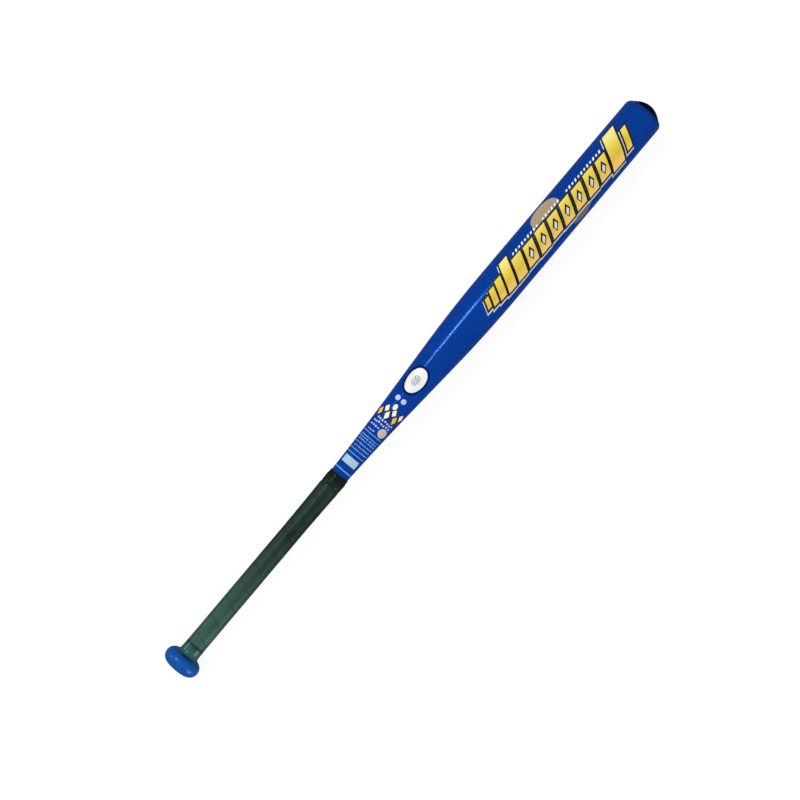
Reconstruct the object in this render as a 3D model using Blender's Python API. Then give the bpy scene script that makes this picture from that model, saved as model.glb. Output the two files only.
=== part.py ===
"""A hollow aluminium softball bat, in metres, lying along X with its knob at the low end.

The pieces are turned, wound or cut to fit one profile, the outside of the bat's tube.
Places along the bat are measured from the flat base of the knob, and diameters are
measured across the flats of the turned shapes.
"""
import math

import bmesh
import bpy

# The whole bat
LENGTH = 0.840
CLEARANCE = 0.0003
SIDES = 32

# The one-piece tube: handle, taper and barrel
HANDLE_DIAMETER = 0.0203
BARREL_DIAMETER = 0.0496
BARREL_NARROWING = 0.0011
TAPER_START = 0.200
TAPER_END = 0.569
HANDLE_BLEND = 0.197
BARREL_BLEND = 0.099
HANDLE_WALL = 0.0024
BARREL_WALL = 0.0022
ROLLED_EDGE_LENGTH = 0.0069
ROLLED_EDGE_DROP = 0.0048
ROLLED_EDGE_ANGLE = math.radians(74)

# The knob, welded to the end of the handle
KNOB_DIAMETER = 0.0449
KNOB_EDGE_RADIUS = 0.0105
KNOB_SHOULDER_LENGTH = 0.0102
KNOB_SHOULDER_DROP = 0.0100
KNOB_SHOULDER_ANGLE = math.radians(77)
KNOB_BASE_THICKNESS = 0.008

# The rubber plug in the knob's vent hole
PLUG_HOLE_DIAMETER = 0.0100
PLUG_RECESS = 0.0006
PLUG_FLANGE_THICKNESS = 0.0015

# The moulded cap that snaps into the barrel
CAP_DOME_HEIGHT = 0.0086
CAP_DOME_STEPS = 9
CAP_RIM_INSET = 0.00035
CAP_WALL = 0.0030
CAP_SKIRT_LENGTH = 0.024
CAP_LEAD_IN = 0.0015
CAP_RIB_THICKNESS = 0.0020
CAP_RIB_DEPTH = 0.010
CAP_RIB_STEPS = 12
CAP_RIBS = 6

# The foam behind the cap
FOAM_LENGTH = 0.060

# The spiral grip with the band and the tape that hold its two ends
GRIP_PITCH = 0.0256
GRIP_SEAM = 0.0005
GRIP_THICKNESS = 0.00125
GRIP_THIN_END = 0.00035
GRIP_PARING = 0.0012
GRIP_EDGE_BEVEL = 0.0004
GRIP_TONGUE = 0.002
GRIP_TURN = math.radians(-137)
BAND_WIDTH = 0.0134
BAND_THICKNESS = 0.0015
BAND_FOOT_HEIGHT = 0.00245
BAND_FOOT_LENGTH = 0.0055
BAND_BEVEL = 0.0003
TAPE_START = 0.2730
TAPE_WIDTH = 0.0166
TAPE_OVERLAP = 0.0100
TAPE_THICKNESS = 0.0005

# The oval sticker on the taper
STICKER_CENTRE = 0.4280
STICKER_TURN = math.radians(8)
STICKER_LENGTH = 0.0334
STICKER_WIDTH = 0.0235
STICKER_THICKNESS = 0.00025
STICKER_RINGS = 4

# Places and radii that follow from the sizes above
HANDLE_RADIUS = HANDLE_DIAMETER / 2
BARREL_RADIUS = BARREL_DIAMETER / 2
KNOB_RADIUS = KNOB_DIAMETER / 2
AXIS_HEIGHT = max(BARREL_RADIUS, KNOB_RADIUS)
HALF_STEP = math.pi / SIDES
CORNER = 1 / math.cos(HALF_STEP)
TUBE_START = KNOB_BASE_THICKNESS + CLEARANCE
CAP_SEAT = LENGTH - CAP_DOME_HEIGHT
TUBE_END = CAP_SEAT - CLEARANCE
SOCKET_RADIUS = HANDLE_RADIUS + CLEARANCE
KNOB_LENGTH = KNOB_EDGE_RADIUS + KNOB_SHOULDER_LENGTH * math.sin(KNOB_SHOULDER_ANGLE)
BAND_START = KNOB_LENGTH + CLEARANCE
GRIP_START = BAND_START + BAND_WIDTH + CLEARANCE
GRIP_END = TAPE_START + TAPE_OVERLAP
GRIP_FIRST_MERIDIAN = HALF_STEP + 2 * HALF_STEP * round((GRIP_TURN - HALF_STEP) / (2 * HALF_STEP))


def outer_radius(x):
    """Outside of the tube: a handle, a straight cone between two tangent blends, and a barrel."""
    rise = BARREL_RADIUS - HANDLE_RADIUS
    slope = rise / (TAPER_END - TAPER_START - (HANDLE_BLEND + BARREL_BLEND) / 2)
    past_start = x - TAPER_START
    before_end = TAPER_END - x
    if past_start <= 0:
        return HANDLE_RADIUS
    if past_start <= HANDLE_BLEND:
        return HANDLE_RADIUS + slope * past_start ** 2 / (2 * HANDLE_BLEND)
    if before_end >= BARREL_BLEND:
        return HANDLE_RADIUS + slope * (past_start - HANDLE_BLEND / 2)
    if before_end >= 0:
        return BARREL_RADIUS - slope * before_end ** 2 / (2 * BARREL_BLEND)
    narrowing = BARREL_NARROWING / 2 * -before_end / (TUBE_END - TAPER_END)
    into_roll = max(0.0, x - (TUBE_END - ROLLED_EDGE_LENGTH)) / ROLLED_EDGE_LENGTH
    turned_in = into_roll * math.sin(ROLLED_EDGE_ANGLE)
    roll = (1 - math.sqrt(max(0.0, 1 - turned_in ** 2))) / (1 - math.cos(ROLLED_EDGE_ANGLE))
    return BARREL_RADIUS - narrowing - ROLLED_EDGE_DROP * roll


def inner_radius(x):
    """Bore of the tube, whose wall changes evenly over the taper."""
    share = (x - TAPER_START) / (TAPER_END - TAPER_START)
    share = min(1.0, max(0.0, share))
    return outer_radius(x) - (HANDLE_WALL + (BARREL_WALL - HANDLE_WALL) * share)


def spread(start, end, steps):
    """Evenly spaced places from start up to, but not including, end."""
    return [start + (end - start) * i / steps for i in range(steps)]


def rolled_edge_places(steps):
    """Places along the rolled edge, closer together where it turns in faster."""
    start = TUBE_END - ROLLED_EDGE_LENGTH
    places = []
    for i in range(steps + 1):
        share = math.sin(ROLLED_EDGE_ANGLE * i / steps) / math.sin(ROLLED_EDGE_ANGLE)
        places.append(start + ROLLED_EDGE_LENGTH * share)
    return places


def arc(centre_x, centre_r, reach_x, reach_r, start, end, steps):
    """Points (x, r) on an ellipse, by an angle measured from the direction of +r towards +x."""
    points = []
    for i in range(steps + 1):
        angle = start + (end - start) * i / steps
        x = centre_x + reach_x * math.sin(angle)
        r = centre_r + reach_r * math.cos(angle)
        points.append((x, r))
    return points


def material(name, red, green, blue, roughness, metallic=0.0):
    """A Principled BSDF material from a display colour of 0 to 255 a channel."""
    colour = []
    for value in (red, green, blue):
        share = value / 255
        colour.append(share / 12.92 if share <= 0.04045 else ((share + 0.055) / 1.055) ** 2.4)
    made = bpy.data.materials.new(name)
    made.use_nodes = True
    shader = made.node_tree.nodes["Principled BSDF"]
    shader.inputs["Base Color"].default_value = (*colour, 1.0)
    shader.inputs["Roughness"].default_value = roughness
    shader.inputs["Metallic"].default_value = metallic
    made.diffuse_color = (*colour, 1.0)
    return made


def add_object(name, bm, look, parent, place=0.0):
    """Turns a bmesh into a smooth-shaded object, placed along the bat's axis."""
    bmesh.ops.recalc_face_normals(bm, faces=bm.faces[:])
    mesh = bpy.data.meshes.new(name)
    bm.to_mesh(mesh)
    bm.free()
    mesh.shade_smooth()
    mesh.set_sharp_from_angle(angle=math.radians(30))
    if look is not None:
        mesh.materials.append(look)
    made = bpy.data.objects.new(name, mesh)
    bpy.context.scene.collection.objects.link(made)
    made.parent = parent
    made.location.x = place
    return made


def turned(name, outline, look, parent, place=0.0):
    """Spins an outline of (x, r) points about the bat's axis, with a flat at the bottom.

    An outline that starts and ends on the axis makes a solid piece, and any other a ring.
    """
    bm = bmesh.new()
    rim = []
    for x, r in outline:
        corner = r * CORNER
        rim.append(bm.verts.new((x - place, corner * math.sin(HALF_STEP), corner * math.cos(HALF_STEP))))
    pairs = list(zip(rim, rim[1:]))
    if outline[0][1] > 0 or outline[-1][1] > 0:
        pairs.append((rim[-1], rim[0]))
    edges = [bm.edges.new(pair) for pair in pairs]
    bmesh.ops.spin(
        bm,
        geom=rim + edges,
        cent=(0, 0, 0),
        axis=(1, 0, 0),
        angle=2 * math.pi,
        steps=SIDES,
        use_merge=True,
    )
    bmesh.ops.remove_doubles(bm, verts=bm.verts[:], dist=1e-6)
    return add_object(name, bm, look, parent, place)


def make_tube(look, parent):
    """The swaged tube, with its barrel end rolled in round the cap."""
    roll_start = TUBE_END - ROLLED_EDGE_LENGTH
    blend_end = TAPER_START + HANDLE_BLEND
    barrel_blend_start = TAPER_END - BARREL_BLEND
    outside = [TUBE_START]
    outside += spread(TAPER_START, blend_end, 8)
    outside += [blend_end]
    outside += spread(barrel_blend_start, TAPER_END, 6)
    outside += [TAPER_END]
    outside += rolled_edge_places(6)
    inside = [TUBE_START]
    inside += spread(TAPER_START, blend_end, 4)
    inside += [blend_end]
    inside += spread(barrel_blend_start, TAPER_END, 3)
    inside += [TAPER_END, roll_start]
    inside += rolled_edge_places(5)[1:]
    outline = [(x, outer_radius(x)) for x in outside]
    outline += [(x, inner_radius(x)) for x in reversed(inside)]
    return turned("bat_shell", outline, look, parent)


def make_knob(look, parent):
    """The turned knob: a round edge, a shoulder on the hands' side, a socket and a vent hole."""
    hole = PLUG_HOLE_DIAMETER / 2
    edge = arc(
        KNOB_EDGE_RADIUS,
        KNOB_RADIUS - KNOB_EDGE_RADIUS,
        KNOB_EDGE_RADIUS,
        KNOB_EDGE_RADIUS,
        -math.pi / 2,
        0.0,
        8,
    )
    shoulder = arc(
        KNOB_EDGE_RADIUS,
        KNOB_RADIUS - KNOB_SHOULDER_DROP,
        KNOB_SHOULDER_LENGTH,
        KNOB_SHOULDER_DROP,
        0.0,
        KNOB_SHOULDER_ANGLE,
        8,
    )
    outline = [(0.0, hole)]
    outline += edge
    outline += shoulder[1:]
    outline += [
        (KNOB_LENGTH, SOCKET_RADIUS),
        (KNOB_BASE_THICKNESS, SOCKET_RADIUS),
        (KNOB_BASE_THICKNESS, hole),
    ]
    return turned("knob", outline, look, parent)


def make_plug(look, parent):
    """The rubber plug, held by a flange inside the end of the tube."""
    stem = PLUG_HOLE_DIAMETER / 2 - CLEARANCE
    flange = inner_radius(TUBE_START) - CLEARANCE
    flange_end = TUBE_START + PLUG_FLANGE_THICKNESS
    outline = [
        (PLUG_RECESS, 0.0),
        (PLUG_RECESS, stem),
        (TUBE_START, stem),
        (TUBE_START, flange),
        (flange_end, flange),
        (flange_end, 0.0),
    ]
    return turned("knob_plug", outline, look, parent)


def cap_rim_radius():
    """Edge of the dome, just inside the edge of the rolled tube."""
    return outer_radius(TUBE_END) - CAP_RIM_INSET


def dome_place(r):
    """Place along the bat of the cap's outside at a distance r from the axis: a parabola."""
    share = min(1.0, r / cap_rim_radius())
    return CAP_SEAT + CAP_DOME_HEIGHT * (1 - share ** 2)


def cap_bore_radius():
    """Inside of the cap's skirt, which is one wall in from its narrow neck."""
    return inner_radius(TUBE_END) - CLEARANCE - CAP_WALL


def cap_rib(index, parent):
    """A plate across the cap whose outer edge lies in the middle of the dome's wall."""
    reach = cap_bore_radius() + CAP_WALL / 2
    low = dome_place(cap_bore_radius()) - CAP_WALL - CAP_RIB_DEPTH
    edge = []
    for i in range(CAP_RIB_STEPS + 1):
        across = reach * (2 * i / CAP_RIB_STEPS - 1)
        edge.append((dome_place(abs(across)) - CAP_WALL / 2, across))
    edge += [(low, reach), (low, -reach)]
    turn = math.pi * (index + 0.5) / (CAP_RIBS // 2)
    bm = bmesh.new()
    for side in (-CAP_RIB_THICKNESS / 2, CAP_RIB_THICKNESS / 2):
        ring = []
        for x, across in edge:
            y = across * math.cos(turn) - side * math.sin(turn)
            z = across * math.sin(turn) + side * math.cos(turn)
            ring.append(bm.verts.new((x - CAP_SEAT, y, z)))
        bm.faces.new(ring)
    faces = list(bm.faces)
    bmesh.ops.bridge_loops(bm, edges=list(faces[0].edges) + list(faces[1].edges))
    guide = add_object(f"cap_rib_guide_{index + 1}", bm, None, parent, CAP_SEAT)
    guide.hide_render = True
    guide.display_type = "WIRE"
    return guide


def make_cap(look, parent):
    """The end cap: a domed flange, a waist that the rolled edge grips, and a ribbed skirt."""
    rim = cap_rim_radius()
    bore = cap_bore_radius()
    skirt_end = CAP_SEAT - CAP_SKIRT_LENGTH
    outline = []
    for i in range(CAP_DOME_STEPS + 1):
        r = rim * math.sin(math.pi / 2 * i / CAP_DOME_STEPS)
        outline.append((dome_place(r), r))
    waist = [x for x in rolled_edge_places(5) if x > skirt_end + CAP_LEAD_IN]
    outline.append((CAP_SEAT, inner_radius(TUBE_END) - CLEARANCE))
    outline += [(x, inner_radius(x) - CLEARANCE) for x in reversed(waist)]
    outline += [
        (skirt_end + CAP_LEAD_IN, inner_radius(skirt_end) - CLEARANCE),
        (skirt_end, inner_radius(skirt_end) - CLEARANCE - CAP_LEAD_IN),
        (skirt_end, bore),
    ]
    for share in (1.0, 0.75, 0.5, 0.25, 0.0):
        outline.append((dome_place(bore * share) - CAP_WALL, bore * share))
    cap = turned("end_cap", outline, look, parent, CAP_SEAT)
    for index in range(CAP_RIBS // 2):
        joined = cap.modifiers.new(f"Rib {index + 1}", "BOOLEAN")
        joined.operation = "UNION"
        joined.solver = "EXACT"
        joined.object = cap_rib(index, parent)
    return cap


def make_foam(look, parent):
    """The foam plug that deadens the ring of the barrel, behind the cap."""
    end = CAP_SEAT - CAP_SKIRT_LENGTH - CLEARANCE
    start = end - FOAM_LENGTH
    outline = [
        (start, 0.0),
        (start, inner_radius(start) - CLEARANCE),
        (end, inner_radius(end) - CLEARANCE),
        (end, 0.0),
    ]
    return turned("damping_foam", outline, look, parent)


def make_start_band(look, parent):
    """The band that holds the start of the grip, whose flared foot seats against the knob."""
    end = BAND_START + BAND_WIDTH
    inside = HANDLE_RADIUS + CLEARANCE
    outside = inside + BAND_THICKNESS
    outline = [(BAND_START, inside)]
    outline += arc(
        BAND_START + BAND_FOOT_LENGTH,
        outside + BAND_FOOT_HEIGHT,
        BAND_FOOT_LENGTH,
        BAND_FOOT_HEIGHT,
        -math.pi / 2,
        -math.pi,
        6,
    )
    outline += [
        (end - BAND_BEVEL, outside),
        (end, outside - BAND_BEVEL),
        (end, inside),
    ]
    return turned("grip_start_band", outline, look, parent)


def make_finish_tape(look, parent):
    """The tape over the end of the grip, half on the grip and half on the bare tube."""
    end = TAPE_START + TAPE_WIDTH
    step = GRIP_END + CLEARANCE
    over_grip = 2 * CLEARANCE + GRIP_THIN_END
    slope_end = step + TAPE_THICKNESS + over_grip
    outline = [
        (TAPE_START, outer_radius(TAPE_START) + over_grip),
        (TAPE_START, outer_radius(TAPE_START) + over_grip + TAPE_THICKNESS),
        (step, outer_radius(step) + over_grip + TAPE_THICKNESS),
        (slope_end, outer_radius(slope_end) + CLEARANCE + TAPE_THICKNESS),
        (end, outer_radius(end) + CLEARANCE + TAPE_THICKNESS),
        (end, outer_radius(end) + CLEARANCE),
        (step, outer_radius(step) + CLEARANCE),
        (step, outer_radius(step) + over_grip),
    ]
    return turned("grip_finish_tape", outline, look, parent)


def grip_top(x):
    """Outside of the grip, which is pared down to a thin end under the tape."""
    pared_end = TAPE_START - CLEARANCE
    share = min(1.0, max(0.0, (pared_end - x) / GRIP_PARING))
    thickness = GRIP_THIN_END + (GRIP_THICKNESS - GRIP_THIN_END) * share
    return outer_radius(x) + CLEARANCE + thickness


def grip_section(low, high):
    """Outline (x, r) of the strip between two places, with bevelled edges."""
    bevel = GRIP_EDGE_BEVEL
    drop = min(bevel, GRIP_THIN_END / 2)
    pared_end = TAPE_START - CLEARANCE
    pared_start = pared_end - GRIP_PARING
    first = low + (high - low) / 3
    second = high - (high - low) / 3
    if low < pared_end and pared_start < high:
        first = min(max(pared_start, low + 2 * bevel), high - 3 * bevel)
        second = min(max(pared_end, low + 3 * bevel), high - 2 * bevel)
    top = [(x, grip_top(x)) for x in (low + bevel, first, second, high - bevel)]
    return [
        (low, outer_radius(low) + CLEARANCE),
        (low, grip_top(low) - drop),
        *top,
        (high, grip_top(high) - drop),
        (high, outer_radius(high) + CLEARANCE),
    ]


def grip_sections():
    """One outline for each step of the spiral, whose two ends are cut square to the bat."""
    width = GRIP_PITCH - GRIP_SEAM
    rise = GRIP_PITCH / SIDES
    steps = math.floor((GRIP_END - GRIP_START + width - 2 * GRIP_TONGUE) / rise)
    sections = []
    for i in range(steps + 1):
        high = GRIP_START + GRIP_TONGUE + rise * i
        low = high - width
        sections.append(grip_section(max(GRIP_START, low), min(GRIP_END, high)))
    return sections


def on_circle(x, r, index):
    """A corner of the strip, on the same meridians as the corners of the tube."""
    angle = GRIP_FIRST_MERIDIAN + 2 * math.pi * index / SIDES
    return (x, r * CORNER * math.sin(angle), r * CORNER * math.cos(angle))


def distance_to_edge(point, start, end):
    """Distance from a point to the straight edge between two others."""
    along = [b - a for a, b in zip(start, end)]
    apart = [p - a for a, p in zip(start, point)]
    share = sum(a * b for a, b in zip(along, apart)) / sum(a * a for a in along)
    share = min(1.0, max(0.0, share))
    return math.dist(apart, [a * share for a in along])


def least_gap(rows):
    """Least gap between a turn and the next, from each corner to the next turn's near edges."""
    gap = math.inf
    for i in range(len(rows) - SIDES - 1):
        for point in rows[i][-3:]:
            for row in (i + SIDES - 1, i + SIDES):
                for near in (0, 1, 2):
                    edge = (rows[max(0, row)][near], rows[row + 1][near])
                    gap = min(gap, distance_to_edge(point, *edge))
    return gap


def make_grip(look, parent):
    """The grip: one unbroken strip wound up the handle, with an even seam between its turns."""
    rows = []
    for index, section in enumerate(grip_sections()):
        rows.append([on_circle(x, r, index) for x, r in section])
    print(f"least gap between the turns of the grip: {least_gap(rows) * 1000:.3f} mm")
    bm = bmesh.new()
    rings = [[bm.verts.new(point) for point in row] for row in rows]
    for ring, following in zip(rings, rings[1:]):
        for i in range(len(ring)):
            j = (i + 1) % len(ring)
            bm.faces.new((ring[i], ring[j], following[j], following[i]))
    bm.faces.new(rings[0])
    bm.faces.new(list(reversed(rings[-1])))
    return add_object("grip_wrap", bm, look, parent)


def make_sticker(look, parent):
    """A thin oval that follows the taper."""
    steps = SIDES
    half_turn = STICKER_WIDTH / 2 / outer_radius(STICKER_CENTRE)
    bm = bmesh.new()
    layers = []
    for lift in (CLEARANCE, CLEARANCE + STICKER_THICKNESS):
        rings = []
        for ring in range(STICKER_RINGS + 1):
            share = ring / STICKER_RINGS
            points = []
            for i in range(steps if ring else 1):
                angle = 2 * math.pi * i / steps
                x = STICKER_CENTRE + STICKER_LENGTH / 2 * share * math.cos(angle)
                r = outer_radius(x) * CORNER + lift
                turn = STICKER_TURN + half_turn * share * math.sin(angle)
                points.append(bm.verts.new((x - STICKER_CENTRE, r * math.sin(turn), r * math.cos(turn))))
            rings.append(points)
        layers.append(rings)
        for i in range(steps):
            j = (i + 1) % steps
            bm.faces.new((rings[0][0], rings[1][i], rings[1][j]))
            for inner, outer in zip(rings[1:], rings[2:]):
                bm.faces.new((inner[i], outer[i], outer[j], inner[j]))
    for i in range(steps):
        j = (i + 1) % steps
        low, high = layers[0][-1], layers[1][-1]
        bm.faces.new((low[i], low[j], high[j], high[i]))
    return add_object("oval_sticker", bm, look, parent, STICKER_CENTRE)


def clear_scene():
    """Removes what a new Blender file holds."""
    for old in list(bpy.data.objects):
        bpy.data.objects.remove(old)


def main():
    """Builds the bat's pieces round an empty on its axis."""
    clear_scene()
    axis = bpy.data.objects.new("bat_axis", None)
    bpy.context.scene.collection.objects.link(axis)
    axis.location = (-LENGTH / 2, 0.0, AXIS_HEIGHT)
    make_tube(material("blue_enamel", 3, 58, 148, 0.25, 0.2), axis)
    make_knob(material("knob_enamel", 14, 88, 160, 0.3, 0.2), axis)
    make_plug(material("plug_rubber", 22, 22, 24, 0.8), axis)
    make_cap(material("cap_urethane", 12, 13, 24, 0.45), axis)
    make_foam(material("foam", 205, 190, 140, 0.95), axis)
    make_start_band(material("band_rubber", 62, 86, 76, 0.3), axis)
    make_grip(material("grip_leather", 50, 76, 70, 0.6), axis)
    make_finish_tape(material("tape_vinyl", 30, 44, 36, 0.4), axis)
    make_sticker(material("sticker_vinyl", 230, 234, 238, 0.4), axis)


main()
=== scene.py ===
"""Looks of a softball bat that lies on a pale floor, in metres, round the fixed CAD frame.

The bat lies along X with its knob at the low end. Places along it are measured from the
flat base of the knob, and turns round it are measured from straight up towards +Y.
"""

import math
import random

import bmesh
import bpy
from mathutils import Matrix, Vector


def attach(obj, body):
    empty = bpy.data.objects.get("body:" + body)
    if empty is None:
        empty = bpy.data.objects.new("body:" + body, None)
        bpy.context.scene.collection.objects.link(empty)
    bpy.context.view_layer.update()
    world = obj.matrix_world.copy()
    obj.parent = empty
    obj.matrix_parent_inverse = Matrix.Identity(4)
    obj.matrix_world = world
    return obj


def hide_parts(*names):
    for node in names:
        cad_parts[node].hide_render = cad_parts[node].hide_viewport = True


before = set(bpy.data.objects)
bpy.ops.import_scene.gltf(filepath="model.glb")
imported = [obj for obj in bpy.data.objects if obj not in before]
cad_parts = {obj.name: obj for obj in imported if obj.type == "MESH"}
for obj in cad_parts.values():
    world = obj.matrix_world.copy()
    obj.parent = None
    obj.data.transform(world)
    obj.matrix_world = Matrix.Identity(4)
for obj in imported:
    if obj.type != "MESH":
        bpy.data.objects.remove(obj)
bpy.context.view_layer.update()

# The whole bat
LENGTH = 0.840
CLEARANCE = 0.0003
SEGMENTS = 128
INK_ROOM = 0.00013
HANDLE_MIDDLE = 0.1

# The one-piece tube: handle, taper and barrel
HANDLE_DIAMETER = 0.0203
BARREL_DIAMETER = 0.0496
BARREL_NARROWING = 0.0011
TAPER_START = 0.200
TAPER_END = 0.569
HANDLE_BLEND = 0.197
BARREL_BLEND = 0.099
HANDLE_WALL = 0.0024
BARREL_WALL = 0.0022
ROLLED_EDGE_LENGTH = 0.0069
ROLLED_EDGE_DROP = 0.0048
ROLLED_EDGE_ANGLE = math.radians(74)
TAPER_STEPS = 46
BARREL_STEPS = 24
ROLLED_EDGE_STEPS = 16
BORE_TAPER_STEPS = 16
BORE_ROLLED_EDGE_STEPS = 8

# The knob, welded to the end of the handle
KNOB_DIAMETER = 0.0449
KNOB_EDGE_RADIUS = 0.0105
KNOB_SHOULDER_LENGTH = 0.0102
KNOB_SHOULDER_DROP = 0.0100
KNOB_SHOULDER_ANGLE = math.radians(77)
KNOB_BASE_THICKNESS = 0.008
KNOB_SOFTENING = 0.0003
KNOB_EDGE_STEPS = 24
KNOB_SHOULDER_STEPS = 28

# The rubber plug in the knob's vent hole
PLUG_HOLE_DIAMETER = 0.0100
PLUG_RECESS = 0.0006
PLUG_FLANGE_THICKNESS = 0.0015
PLUG_DIMPLE = 0.0005
PLUG_FIT = 0.00005

# The plug's dished face: shares of the way out to its edge, and of the dimple's depth there
PLUG_FACE = ((0.0, 1.0), (0.25, 0.8), (0.5, 0.2), (0.62, 0.0), (0.9, 0.0), (1.0, 0.5))

# The moulded cap that snaps into the barrel
CAP_DOME_HEIGHT = 0.0086
CAP_RIM_INSET = 0.00035
CAP_WALL = 0.0030
CAP_SKIRT_LENGTH = 0.024
CAP_GROOVE_RADIUS = 0.0150
CAP_GROOVE_WIDTH = 0.0010
CAP_GROOVE_DEPTH = 0.00025
CAP_DOME_STEPS = 30
CAP_GROOVE_STEPS = 8
CAP_BORE_STEPS = 4

# The spiral grip with the band and the tape that hold its two ends
GRIP_PITCH = 0.0256
GRIP_SEAM = 0.00006
GRIP_THICKNESS = 0.00125
GRIP_THIN_END = 0.00035
GRIP_PARING = 0.0012
GRIP_TONGUE = 0.0003
GRIP_TURN = math.radians(-160.9)
GRIP_STEPS = 96
GRIP_EDGE_ROUND = 0.0012
GRIP_EDGE_DROP = 0.00024
GRIP_EDGE_SHARES = (0.0, 0.12, 0.3, 0.6, 1.0)
GRIP_TOP_STEPS = 8
BAND_WIDTH = 0.0134
BAND_THICKNESS = 0.0015
BAND_FOOT_HEIGHT = 0.00245
BAND_FOOT_LENGTH = 0.0055
BAND_ROUND = 0.0005
BAND_FOOT_STEPS = 16
BAND_BODY_STEPS = 10
BAND_ROUND_STEPS = 5
BAND_RIPPLE = 0.00003
TAPE_START = 0.2730
TAPE_WIDTH = 0.0166
TAPE_OVERLAP = 0.0100
TAPE_THICKNESS = 0.0005
TAPE_EDGE = 0.0002
TAPE_EDGE_SHARE = 0.6
TAPE_FIRST_RING = 0.003
TAPE_LAST_RING = 0.0004
TAPE_STEPS = 4
TAPE_SLOPE = 0.0022
TAPE_SLOPE_STEPS = 6
TAPE_END_TURN = math.radians(62)
TAPE_END_STEP = 0.00016

# Waves of the band's ripple: turns of phase along it and round it, in radians, and a start
BAND_WAVES = ((900, 2, 0), (1500, -3, 1))

# The oval sticker on the taper
STICKER_CENTRE = 0.4280
STICKER_TURN = math.radians(8)
STICKER_LENGTH = 0.0334
STICKER_WIDTH = 0.0235
STICKER_THICKNESS = 0.00022
STICKER_LIFT = 0.00004
STICKER_STEPS = 96
STICKER_RINGS = 10
STICKER_FACE_CENTRE = 0.4275
STICKER_FACE_TURN = math.radians(9.3)
STICKER_FACE_LENGTH = 0.0319
STICKER_FACE_WIDTH = 0.0218
# Width of the dark ring round the sticker's face, a painted shadow of the sticker's edge
STICKER_SHADOW_RING = 0.0030
STICKER_BORDER_STEPS = 64

# Levels of the sticker's rim: shares of the way out from its middle, and of its thickness
STICKER_RIM = ((1.0, 0.0), (1.0, 0.6), (0.985, 1.0))

# Places and radii that follow from the sizes above
HANDLE_RADIUS = HANDLE_DIAMETER / 2
BARREL_RADIUS = BARREL_DIAMETER / 2
KNOB_RADIUS = KNOB_DIAMETER / 2
AXIS_HEIGHT = max(BARREL_RADIUS, KNOB_RADIUS)
TUBE_START = KNOB_BASE_THICKNESS + CLEARANCE
CAP_SEAT = LENGTH - CAP_DOME_HEIGHT
TUBE_END = CAP_SEAT - CLEARANCE
SOCKET_RADIUS = HANDLE_RADIUS + CLEARANCE
KNOB_LENGTH = KNOB_EDGE_RADIUS + KNOB_SHOULDER_LENGTH * math.sin(KNOB_SHOULDER_ANGLE)
BAND_START = KNOB_LENGTH + CLEARANCE
GRIP_START = BAND_START + BAND_WIDTH + CLEARANCE
GRIP_END = TAPE_START + TAPE_OVERLAP

# The print: films of ink, one over another
FILM = 0.00002
BRONZE_LIFT = 0.00003
SILVER_LIFT = 0.00005
BLACK_LIFT = 0.00007
GOLD_LIFT = 0.00009
WINDOW_LIFT = 0.00011
GLINT_LIFT = 0.00013
SLANT = 0.52
PRINT_GRID = 0.008
SAME_PLACE = 1e-7

# Colours, as display values of 0 to 255 a channel
SHELL_BLUE = (0, 48, 139)
SHELL_DEEP_BLUE = (0, 45, 135)
SHELL_FLAKES = (24, 120, 190)
# Painted shade of the enamel, darkest where the tube meets the cap
SHELL_SEAM_SHADE = (0, 8, 44)
KNOB_BLUE = (0, 71, 153)
KNOB_DEEP_BLUE = (0, 68, 148)
KNOB_FLAKES = (24, 130, 200)
# Painted shade of the knob's enamel, darkest where the knob meets the band
KNOB_SEAM_SHADE = (0, 44, 98)
PLUG_BLACK = (14, 14, 16)
PLUG_GREY = (22, 22, 24)
CAP_BLUE_BLACK = (9, 22, 78)
CAP_DEEP_BLACK = (7, 18, 66)
CAP_SHEEN = (0, 0, 8)
BAND_GREEN = (18, 78, 78)
# The band's darker green is both its uneven tone and painted shade where the grip meets it
BAND_DARK_GREEN_AND_SHADE = (0, 46, 53)
LEATHER_GREEN = (50, 74, 68)
LEATHER_NEAR_KNOB = (49, 84, 77)
LEATHER_NEAR_TAPE = (7, 30, 20)
LEATHER_BLOTCH = (34, 57, 46)
LEATHER_DIRT = (16, 24, 22)
# Painted shade on the grip's first millimetres, next to the band
LEATHER_START_SHADE = (0, 44, 51)
TAPE_GREEN = (18, 37, 28)
TAPE_DARK_GREEN = (8, 18, 9)
STICKER_NAVY = (3, 25, 98)
STICKER_DEEP_NAVY = (2, 21, 90)
STICKER_WHITE = (228, 233, 230)
STICKER_OFF_WHITE = (222, 228, 226)
FOAM_YELLOW = (205, 190, 140)
FOAM_BROWN = (190, 172, 120)

# Inks: name, colours from side to side, how far out from the middle they change, and gloss
INKS = (
    ("gold", ((246, 200, 116), (216, 182, 50), (230, 208, 76), (246, 236, 150)), 0.015, 0.15),
    ("black", ((8, 8, 16), (12, 12, 22)), 0.012, 0.15),
    ("silver", ((196, 200, 205), (232, 234, 240)), 0.012, 0.15),
    ("white", ((215, 225, 240), (232, 238, 248)), 0.012, 0.15),
    ("bronze", ((86, 86, 104), (180, 158, 122)), 0.022, 0.15),
    ("pale_blue", ((96, 146, 214), (112, 158, 220)), 0.012, 0.15),
    ("panel", ((154, 190, 206), (170, 202, 214)), 0.012, 0.15),
    ("cream", ((246, 236, 190), (250, 250, 232)), 0.012, 0.15),
    ("amber", ((240, 178, 60), (236, 200, 90)), 0.012, 0.15),
    ("beige", ((190, 178, 168), (200, 188, 162)), 0.012, 0.15),
    ("lilac", ((170, 178, 232), (196, 206, 244)), 0.012, 0.15),
    ("grey", ((62, 60, 66), (44, 44, 52)), 0.012, 0.15),
    # This navy ink paints the shadow round the sticker
    ("navy", ((1, 26, 98), (1, 20, 84)), 0.012, 0.02),
)
INK_ROUGHNESS = 0.4

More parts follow.
